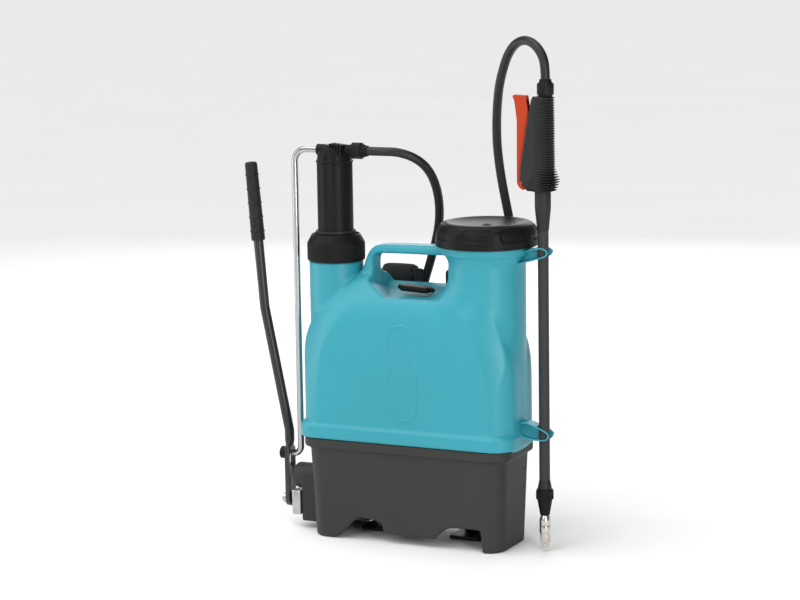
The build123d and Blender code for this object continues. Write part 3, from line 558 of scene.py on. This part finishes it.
GRIP_LOW, GRIP_HIGH = Vector((-266.5, 0, 442)), Vector((-276.3, 0, 562))
grip_axis = GRIP_HIGH - GRIP_LOW
grip_length = grip_axis.length
GRIP = [(7.6, -0.2), (9.8, 0.2), (10.5, 1.2), (10.6, 3)]
for place in (0.12, 0.30, 0.48, 0.66, 0.84):
    h, r = place * grip_length, 10.6 - 1.2 * place
    GRIP += [(r, h - 1.2), (r + 1.1, h - 0.5), (r + 1.1, h + 0.6), (r, h + 1.3)]
GRIP += [(9.5, 116), (9.3, 118.6), (8.3, 120.3), (5.5, 121.2), (3, 121.0), (1.2, 120.6)]
lathe("lever_handgrip", dense(GRIP, 3), "grip_rubber", "lever", ["lever_grip"], None, 64, closed=False,
      axis=grip_axis, origin=GRIP_LOW)


# ------------------------------------------------------------------ trigger handle
HANDLE_SIDE = [(223, 536.4), (195, 536.4), (186, 539), (179.2, 546), (176.8, 553), (178.6, 575), (187, 625.5),
               (195.6, 668.5), (198.6, 672.6), (222, 672.6)]
TRIGGER_SIDE = [(164.6, 672.6), (166.4, 675.2), (186.2, 674.2), (190, 650), (190, 562), (187.3, 543.2),
                (183.6, 537.9), (179, 537.2), (173.4, 541.4), (170.6, 548), (171.2, 638), (169.4, 653),
                (167.4, 667)]
SLOT_SIDE = [(150, 700), (203, 700), (203, 640), (201, 610), (192, 552), (189, 534), (189, 520), (150, 520)]


def handle_core(x, y, z):
    """Form that the two handle shells and the rubber cover share."""
    X, Y, Z = x[:, None, None], y[None, :, None], z[None, None, :]
    plate = outline_distance(HANDLE_SIDE, x, z)[:, None, :]
    body = smax(plate, np.abs(Y - LANCE_Y) - 13.9, 7)
    spine = smax(np.hypot(X - LANCE_X, Y - LANCE_Y) - 13.6, np.maximum(536.4 - Z, Z - 672.6), 2)
    return X, Y, Z, smin(body, spine, 4)


def shell_field(front):
    """One half of the handle, with the trigger's slot and the valve's bore."""
    def field(x, y, z):
        X, Y, Z, body = handle_core(x, y, z)
        slot = np.maximum(outline_distance(SLOT_SIDE, x, z)[:, None, :], np.abs(Y - LANCE_Y) - 6.7)
        body = smax(body, -slot, 1)
        body = np.maximum(body, -(np.hypot(X - LANCE_X, Y - LANCE_Y) - 6.2))
        cover = X - 214
        half = Y - LANCE_Y if front else LANCE_Y - Y
        return np.maximum(np.maximum(body, half), cover)
    return field


def rubber_field(x, y, z):
    """Ribbed rubber over the handle's back, with larger ribs near the bottom."""
    X, Y, Z, body = handle_core(x, y, z)
    edge = 203.2 - 15 * ease((572 - Z) / 34)
    ribs = 0.5 + 0.5 * np.cos(2 * np.pi * (Z - 537.5) / 3.7)
    low = np.clip(1 - np.abs(Z - 551) / 19, 0, 1)
    right = ease((X - 206) / 14)
    proud = 0.5 + (0.9 + 0.8 * right + 5.2 * low * right) * ease(ribs * 1.9 - 0.55)
    swell = np.maximum(body - proud, -(body + 1.2))
    return np.maximum(swell, np.maximum(edge - X, np.maximum(536.6 - Z, Z - 672.4)))


def trigger_field(x, y, z):
    """Trigger blade with a hollow inner side."""
    X, Y, Z = x[:, None, None], y[None, :, None], z[None, None, :]
    body = smax(outline_distance(TRIGGER_SIDE, x, z)[:, None, :], np.abs(Y - LANCE_Y) - 5.9, 2)
    inner = np.maximum(np.maximum(173.2 - X, np.maximum(560 - Z, Z - 668)), np.abs(Y - LANCE_Y) - 4)
    return smax(body, -inner, 1)


FINE = 0.75
handle_low, handle_high = (172, -31, 531), (240, 15, 678)
for front, name, node in ((True, "handle_shell_front", "grip_shell_front"),
                          (False, "handle_shell_back", "grip_shell_back")):
    sculpt(name, shell_field(front), handle_low, handle_high, FINE, "lance_grey", "tank", [node])
sculpt("handle_rubber", rubber_field, handle_low, handle_high, FINE, "grip_rubber", "tank", ["grip_cover"],
       relax=0)
sculpt("trigger_lever", trigger_field, (160, -17, 532), (194, 1, 679), FINE, "trigger_orange", "trigger",
       ["trigger"])


# ------------------------------------------------------------------ harness
def toggle_field(x, y, z):
    """Harness bar with a thinner pin at each end, tilted a little."""
    X, Y, Z = x[:, None, None], y[None, :, None], z[None, None, :]
    tilt = math.radians(3)
    along = X * math.cos(tilt) - (Z - BAR_Z) * math.sin(tilt)
    up = X * math.sin(tilt) + (Z - BAR_Z) * math.cos(tilt)
    body = smax(rounded_box(along, Y - 2, 23, 11.5, 4), np.abs(up) - 4.6 + 0.03 * np.abs(Y - 2), 3)
    pin = smax(np.hypot(Y - 2, up) - 3.6, np.abs(along) - 29.5, 1.2)
    return np.minimum(body, pin)


sculpt("harness_toggle", toggle_field, (-33, -13, 371), (33, 17, 391), 0.9, "black_plastic", "tank",
       ["strap_bar"])

PAD_LINE = [(68.4, 365), (70.2, 384), (75, 396), (83, 402.5), (89.5, 398), (92.4, 386), (92.6, 340),
            (92.2, 300), (91.8, 240), (91.6, 168)]


def smooth_line(points, count):
    """Evenly spaced points on the quadratic spline through a line's control points."""
    curve = bpy.data.curves.new("line", "CURVE")
    curve.dimensions = "3D"
    spline = curve.splines.new("NURBS")
    spline.points.add(len(points) - 1)
    for point, (py, pz) in zip(spline.points, points):
        point.co = (0, py * MM, pz * MM, 1)
    spline.order_u = 3
    spline.use_endpoint_u = True
    curve.resolution_u = 16
    holder = bpy.data.objects.new("line", curve)
    bpy.context.collection.objects.link(holder)
    mesh = bpy.data.meshes.new_from_object(holder)
    line = np.array([v.co for v in mesh.vertices])
    bpy.data.objects.remove(holder)
    bpy.data.meshes.remove(mesh)
    reach = np.r_[0, np.cumsum(np.linalg.norm(np.diff(line, axis=0), axis=1))]
    even = np.linspace(0, reach[-1], count)
    return np.stack([np.interp(even, reach, line[:, k]) for k in range(3)], 1)


def band_mesh(name, line, centre_x, width, thick, around=24, power=4.0):
    """Soft band along a line in the YZ plane: width and thick are functions of the share along it."""
    form = bmesh.new()
    rings = []
    last = len(line) - 1
    for i, point in enumerate(line):
        along = line[min(i + 1, last)] - line[max(i - 1, 0)]
        along = Vector(along).normalized()
        normal = Vector((1, 0, 0)).cross(along)
        share = i / last
        ring = []
        for k in range(around):
            angle = 2 * math.pi * k / around
            c, s = math.cos(angle), math.sin(angle)
            cx = math.copysign(abs(c) ** (2 / power), c) * width(share) / 2
            cn = math.copysign(abs(s) ** (2 / 2.4), s) * thick(share) / 2
            ring.append(form.verts.new(Vector((centre_x + cx, 0, 0)) + Vector(point) + normal * cn))
        rings.append(ring)
    for lower, upper in zip(rings, rings[1:]):
        for k in range(around):
            nxt = (k + 1) % around
            form.faces.new((lower[k], lower[nxt], upper[nxt], upper[k]))
    form.faces.new(rings[0][::-1])
    form.faces.new(rings[-1])
    bmesh.ops.recalc_face_normals(form, faces=form.faces)
    mesh = bpy.data.meshes.new(name)
    form.to_mesh(mesh)
    form.free()
    piece = bpy.data.objects.new(name, mesh)
    bpy.context.collection.objects.link(piece)
    return piece


def activate(piece):
    bpy.ops.object.select_all(action="DESELECT")
    piece.select_set(True)
    bpy.context.view_layer.objects.active = piece


def puff(piece, voxel, pressure, cap_move):
    """Swells a closed form as cloth under pressure, with its top held, and limits how far a point moves."""
    activate(piece)
    mod = piece.modifiers.new("even", "REMESH")
    mod.mode = "VOXEL"
    mod.voxel_size = voxel
    bpy.ops.object.modifier_apply(modifier=mod.name)
    start = np.array([v.co for v in piece.data.vertices])
    cloth = piece.modifiers.new("cloth", "CLOTH")
    cloth.settings.use_pressure = True
    cloth.settings.uniform_pressure_force = pressure
    cloth.settings.effector_weights.gravity = 0
    cloth.settings.quality = 5
    held = piece.vertex_groups.new(name="held")
    held.add([v.index for v in piece.data.vertices if v.co.z > 0.36 and v.co.y < 0.074], 1.0, "ADD")
    cloth.settings.vertex_group_mass = "held"
    for number in range(1, 16):
        bpy.context.scene.frame_set(number)
    activate(piece)
    bpy.ops.object.modifier_apply(modifier=cloth.name)
    bpy.context.scene.frame_set(1)
    moved = np.array([v.co for v in piece.data.vertices])
    shift = moved - start
    size = np.linalg.norm(shift, axis=1, keepdims=True)
    shift *= np.minimum(1, cap_move / np.maximum(size, 1e-9))
    for v, co in zip(piece.data.vertices, start + shift):
        v.co = co
    mod = piece.modifiers.new("fine", "SUBSURF")
    mod.levels = mod.render_levels = 1
    bpy.ops.object.modifier_apply(modifier=mod.name)
    return piece


def sew(piece, centre_x):
    """Binding along both edges and cross channels, pressed into the pad after it has swelled."""
    form = bmesh.new()
    form.from_mesh(piece.data)
    bmesh.ops.subdivide_edges(form, edges=form.edges[:], cuts=1, use_grid_fill=True, smooth=0.6)
    form.normal_update()
    for v in form.verts:
        across = abs(v.co.x - centre_x) / MM
        edge = math.exp(-((across - 25.5) / 1.3) ** 2)
        channel = max(math.exp(-(((v.co.z / MM) - level) / 1.6) ** 2) for level in (352, 304, 256, 208))
        if across > 24:
            channel = 0
        v.co -= v.normal * (0.0012 * edge + 0.0014 * channel)
    form.to_mesh(piece.data)
    form.free()


def flap_field(middle):
    """Sewn flap beside a pad's top, with two stitched lines that run up and outwards."""
    def field(x, y, z):
        X, Y, Z = x[:, None, None], y[None, :, None], z[None, None, :]
        flap = smax(rounded_box(X - middle, Z - 382.5, 9, 18.5, 5), np.abs(Y - 68.2) - 1.55, 1.4)
        for slope in (-0.28, 0.28):
            seam = np.hypot(X - middle - slope * (Z - 366), Y - 66.4) - 0.75
            flap = smax(flap, -seam, 0.5)
        return flap
    return field


for hand, side in (("left", -1), ("right", 1)):
    centre = side * PAD_X * MM
    line = smooth_line(PAD_LINE, 56)
    pad = band_mesh(f"pad_{hand}", line, centre,
                    lambda s: 0.061 - 0.010 * math.exp(-(s / 0.10) ** 2) - 0.008 * max(0.0, s - 0.85) / 0.15,
                    lambda s: 0.0045 + 0.0075 * float(ease(s / 0.22)) - 0.004 * float(ease((s - 0.9) / 0.1)))
    puff(pad, 0.0042, 2.2, 0.0022)
    sew(pad, centre)
    finish_piece(pad, "pad_fabric", "tank", [f"shoulder_pad_{hand}"])
    near, far = sorted((side * 18, side * 36))
    sculpt(f"pad_flap_{hand}", flap_field((near + far) / 2), (near - 3, 63, 361), (far + 3, 74, 405), 0.8,
           "pad_fabric", "tank", [])

    line = smooth_line([(90, 128), (87.6, 112), (83.6, 90), (78.6, 66), (74.9, 47)], 40)
    strap = band_mesh(f"webbing_{hand}", line, centre, lambda s: 0.028, lambda s: 0.0022, around=20,
                      power=14.0)
    finish_piece(strap, "webbing", "tank", [f"lower_strap_{hand}"])


# ------------------------------------------------------------------ hose
HOSE_ROUTE = [
    (-0.0753, 0, 0.585), (-0.053, 0, 0.585), (-0.031, 0.007, 0.5845), (-0.0095, 0.019, 0.5765),
    (0.0045, 0.035, 0.5605), (0.011, 0.050, 0.536), (0.012, 0.062, 0.506), (0.008, 0.0705, 0.474),
    (-0.001, 0.075, 0.441), (-0.0125, 0.0775, 0.408), (-0.024, 0.078, 0.373), (-0.033, 0.0783, 0.337),
    (-0.037, 0.078, 0.299), (-0.034, 0.078, 0.261), (-0.020, 0.078, 0.228), (0.008, 0.078, 0.205),
    (0.042, 0.078, 0.196), (0.076, 0.078, 0.201), (0.104, 0.078, 0.221), (0.122, 0.078, 0.252),
    (0.1305, 0.0785, 0.288), (0.1325, 0.080, 0.326), (0.1315, 0.082, 0.364), (0.1285, 0.085, 0.402),
    (0.1225, 0.0875, 0.440), (0.1155, 0.0882, 0.478), (0.108, 0.087, 0.516), (0.1025, 0.084, 0.553),
    (0.1005, 0.079, 0.590), (0.1016, 0.0751, 0.614), (0.1045, 0.0693, 0.637), (0.109, 0.0627, 0.660),
    (0.1149, 0.0555, 0.682), (0.1222, 0.0509, 0.7036), (0.1336, 0.0437, 0.7278), (0.1505, 0.0312, 0.7448),
    (0.1695, 0.0176, 0.7523), (0.1879, 0.0057, 0.7503), (0.2045, -0.0033, 0.7389), (0.2145, -0.008, 0.720),
    (0.2145, -0.008, 0.698),
]
HOSE_D = 0.0135


def hose_curve(depth):
    """Mesh of the hose's spline: its line alone with no depth, else a tube of that radius."""
    curve = bpy.data.curves.new("hose_line", "CURVE")
    curve.dimensions = "3D"
    spline = curve.splines.new("NURBS")
    spline.points.add(len(HOSE_ROUTE) - 1)
    for point, place in zip(spline.points, HOSE_ROUTE):
        point.co = (*place, 1)
    spline.order_u = 3
    spline.use_endpoint_u = True
    curve.resolution_u = 8
    curve.bevel_depth = depth
    curve.bevel_resolution = 8
    curve.use_fill_caps = depth > 0
    holder = bpy.data.objects.new("hose_line", curve)
    bpy.context.collection.objects.link(holder)
    mesh = bpy.data.meshes.new_from_object(holder)
    bpy.data.objects.remove(holder)
    return mesh


path_mesh = hose_curve(0)
bpy.data.meshes.remove(path_mesh)
hose = bpy.data.objects.new("spray_hose", hose_curve(HOSE_D / 2))
bpy.context.collection.objects.link(hose)
hose.data.materials.clear()
finish_piece(hose, "hose_rubber", None, ["hose"])
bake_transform(hose)

# ------------------------------------------------------------------ soft edges on the kept CAD pieces
BEVELS = {
    "lever_bracket": 0.6, "lever_tube": 0.9, "plunger_head": 0.9, "outlet_nut": 0.9, "inlet_nut": 0.7,
    "lance_nut": 0.5, "lance_socket": 0.5, "lance_ferrule": 0.5, "pivot_bolt": 0.6, "pivot_washer": 0.4,
    "pivot_bush": 0.4, "pivot_nut": 0.6, "rod_cap": 0.8, "nozzle_body": 0.3, "nozzle_tip": 0.3,
    "strap_hook_left": 1.2, "strap_hook_right": 1.2, "strap_buckle_left": 1.5, "strap_buckle_right": 1.5,
    "strap_anchors": 0.6, "trigger_pin": 0.4, "grip_screws": 0.3, "bracket_screws": 0.4, "plunger_tube": 0.5,
}
for name, width in BEVELS.items():
    node = NODES[name]
    weld = node.modifiers.new("weld", "WELD")
    weld.merge_threshold = 0.00001
    bevel = node.modifiers.new("bevel", "BEVEL")
    bevel.width = width * MM
    bevel.segments = 2
    bevel.limit_method = "ANGLE"
    bevel.angle_limit = math.radians(35)
    bevel.harden_normals = False
for node in NODES.values():
    for face in node.data.polygons:
        face.use_smooth = True

# ------------------------------------------------------------------ floor, light and camera
floor_mesh = bpy.data.meshes.new("floor")
floor_mesh.from_pydata([(-60, -60, 0), (60, -60, 0), (60, 60, 0), (-60, 60, 0)], [], [(0, 1, 2, 3)])
floor = bpy.data.objects.new("floor", floor_mesh)
bpy.context.collection.objects.link(floor)
floor_mesh.materials.append(material("floor_paper", (0.90, 0.90, 0.90), 0.9, tint=0.01, blotch=2, grain=300,
                                     bump=0.02, specular=0.1))


def soft_light(name, place, aim, size, power):
    """Rectangular studio light that points at aim."""
    data = bpy.data.lights.new(name, "AREA")
    data.shape = "RECTANGLE"
    data.size, data.size_y = size
    data.energy = power
    lamp = bpy.data.objects.new(name, data)
    lamp.location = place
    lamp.rotation_euler = (Vector(aim) - Vector(place)).to_track_quat("-Z", "Y").to_euler()
    bpy.context.collection.objects.link(lamp)


soft_light("left_box", (-2.1, -0.7, 0.9), (-0.1, 0, 0.35), (0.5, 1.8), 12)
soft_light("right_box", (1.9, -1.75, 0.9), (0.1, 0, 0.3), (0.3, 1.7), 27)
soft_light("front_box", (-0.5, -3.2, 1.5), (0, 0, 0.3), (1.0, 1.0), 22)
soft_light("back_box", (-0.8, 2.6, 1.5), (0, 0, 0.35), (2.0, 1.6), 24)
sky = bpy.data.lights.new("overhead", "SUN")
sky.energy = 2.7
sky.angle = math.radians(75)
overhead = bpy.data.objects.new("overhead", sky)
overhead.rotation_euler = (math.radians(14), math.radians(-14), 0)
bpy.context.collection.objects.link(overhead)

world = bpy.data.worlds.new("studio")
world.use_nodes = True
world.node_tree.nodes["Background"].inputs["Color"].default_value = (1, 1, 1, 1)
world.node_tree.nodes["Background"].inputs["Strength"].default_value = 0.16
bpy.context.scene.world = world
bpy.context.scene.view_settings.view_transform = "Standard"

AZIMUTH, ELEVATION, ROLL = (math.radians(a) for a in (25.83, 9.22, 0.93))
back = Vector((math.sin(AZIMUTH) * math.cos(ELEVATION), -math.cos(AZIMUTH) * math.cos(ELEVATION),
               math.sin(ELEVATION)))
right = (-back).cross(Vector((0, 0, 1))).normalized()
up = right.cross(-back)
turned_right = right * math.cos(ROLL) - up * math.sin(ROLL)
turned_up = up * math.cos(ROLL) + right * math.sin(ROLL)
CAMERA_AT = Vector((1.57207, -3.30241, 0.95791))
camera_data = bpy.data.cameras.new("camera")
camera_data.sensor_width = 36
camera_data.lens = 111.5
camera = bpy.data.objects.new("camera", camera_data)
bpy.context.collection.objects.link(camera)
axes = Matrix((turned_right, turned_up, back)).transposed().to_4x4()
camera.matrix_world = Matrix.Translation(CAMERA_AT) @ axes
bpy.context.scene.camera = camera
